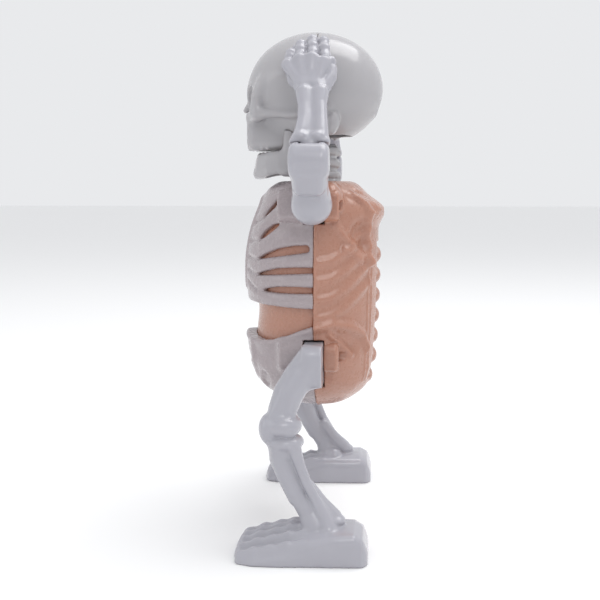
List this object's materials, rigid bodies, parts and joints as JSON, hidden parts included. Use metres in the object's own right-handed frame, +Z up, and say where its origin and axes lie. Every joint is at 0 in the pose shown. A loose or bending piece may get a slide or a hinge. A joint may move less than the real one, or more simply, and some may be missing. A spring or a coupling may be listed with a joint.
{
  "type": "clockwork skeleton toy",
  "caption": "Free-standing clockwork toy skeleton: legs, arms and the skull held in its hands sway from side to side on front-to-back pivots, driven by a spring motor in the torso.",
  "frame": {"origin": "on the floor, under the centre of the toy's bounding box", "axes": "+Z up; the toy faces -Y; its own left side is +X"},
  "size_m": [0.061, 0.029, 0.1],
  "materials": {
    "body_plastic": "satin-gloss moulded, slightly translucent",
    "bone_front_plastic": "milky translucent moulded",
    "skull_plastic": "milky translucent moulded",
    "limb_plastic": "glossy moulded",
    "steel": "zinc plated",
    "spring_steel": "blued",
    "motor_plastic": "natural moulded",
    "gear_plastic": "natural acetal"
  },
  "bodies": {
    "torso": {"torso_front": "body_plastic", "torso_rear": "body_plastic", "rib_cage": "bone_front_plastic", "pelvis_front": "bone_front_plastic", "neck": "skull_plastic", "case_screws": "steel", "motor_plate_left": "motor_plastic", "motor_plate_right": "motor_plastic", "motor_pillars": "motor_plastic", "mainspring": "spring_steel"},
    "left_leg": {"left_leg": "limb_plastic"},
    "right_leg": {"right_leg": "limb_plastic"},
    "left_arm": {"left_upper_arm": "limb_plastic", "left_elbow_pin": "steel"},
    "right_arm": {"right_upper_arm": "limb_plastic", "right_elbow_pin": "steel"},
    "left_link": {"left_side_link": "motor_plastic"},
    "right_link": {"right_side_link": "motor_plastic"},
    "skull": {"skull_face": "skull_plastic", "skull_back": "skull_plastic", "jaw": "skull_plastic", "left_forearm": "limb_plastic", "right_forearm": "limb_plastic"},
    "winding_shaft": {"winding_arbor": "steel", "great_wheel": "gear_plastic", "winding_knob": "limb_plastic"},
    "second_shaft": {"second_wheel": "gear_plastic"},
    "crank_shaft": {"crank_shaft": "gear_plastic", "left_crank": "gear_plastic", "right_crank": "gear_plastic"},
    "escape_shaft": {"escape_wheel": "gear_plastic"},
    "verge": {"verge": "gear_plastic"}
  },
  "joints": [
    {"name": "leg_swing", "type": "hinge", "parent": "torso", "child": "left_leg", "pos_m": [0.013, 0.0011, 0.0361], "axis": [0, 1, 0], "range_deg": [-7, 7]},
    {"name": "right_leg_swing", "type": "hinge", "parent": "torso", "child": "right_leg", "pos_m": [-0.013, 0.0011, 0.0361], "axis": [0, 1, 0], "range_deg": [-7.1, 7.1]},
    {"name": "left_arm_swing", "type": "hinge", "parent": "torso", "child": "left_arm", "pos_m": [0.014, 0.0011, 0.0655], "axis": [0, 1, 0], "range_deg": [-5.85, 5.85]},
    {"name": "right_arm_swing", "type": "hinge", "parent": "torso", "child": "right_arm", "pos_m": [-0.014, 0.0011, 0.0655], "axis": [0, 1, 0], "range_deg": [-5.85, 5.85]},
    {"name": "left_link_slide", "type": "slide", "parent": "torso", "child": "left_link", "axis": [0, 0, 1], "range_m": [-0.00057, 0.00057]},
    {"name": "right_link_slide", "type": "slide", "parent": "torso", "child": "right_link", "axis": [0, 0, 1], "range_m": [-0.00057, 0.00057]},
    {"name": "skull_sway", "type": "hinge", "parent": "left_arm", "child": "skull", "pos_m": [0.0263, 0.0011, 0.0736], "axis": [0, 1, 0], "range_deg": [-3.16, 3.16]},
    {"name": "winding", "type": "hinge", "parent": "torso", "child": "winding_shaft", "pos_m": [0, -0.00117, 0.04985], "axis": [1, 0, 0], "continuous": true},
    {"name": "second_wheel_spin", "type": "hinge", "parent": "torso", "child": "second_shaft", "pos_m": [0, 0.00285, 0.04288], "axis": [1, 0, 0], "continuous": true},
    {"name": "crank_spin", "type": "hinge", "parent": "torso", "child": "crank_shaft", "pos_m": [0, 0.0011, 0.0361], "axis": [1, 0, 0], "continuous": true},
    {"name": "escape_spin", "type": "hinge", "parent": "torso", "child": "escape_shaft", "pos_m": [0, -0.00494, 0.03964], "axis": [1, 0, 0], "continuous": true},
    {"name": "verge_rock", "type": "hinge", "parent": "torso", "child": "verge", "pos_m": [0, -0.00494, 0.03434], "axis": [1, 0, 0], "range_deg": [-3, 3]}
  ],
  "couplings": [
    {"joint": "right_leg_swing", "follows": "leg_swing", "ratio": 1},
    {"joint": "left_arm_swing", "follows": "leg_swing", "ratio": 0.82143},
    {"joint": "right_arm_swing", "follows": "leg_swing", "ratio": 0.82143},
    {"joint": "left_link_slide", "follows": "leg_swing", "m_per_rad": 0.0046},
    {"joint": "right_link_slide", "follows": "leg_swing", "m_per_rad": -0.0046},
    {"joint": "skull_sway", "follows": "leg_swing", "ratio": -0.43726},
    {"joint": "second_wheel_spin", "follows": "winding", "ratio": -3.6},
    {"joint": "crank_spin", "follows": "winding", "ratio": 10.8},
    {"joint": "escape_spin", "follows": "winding", "ratio": -32.4}
  ]
}
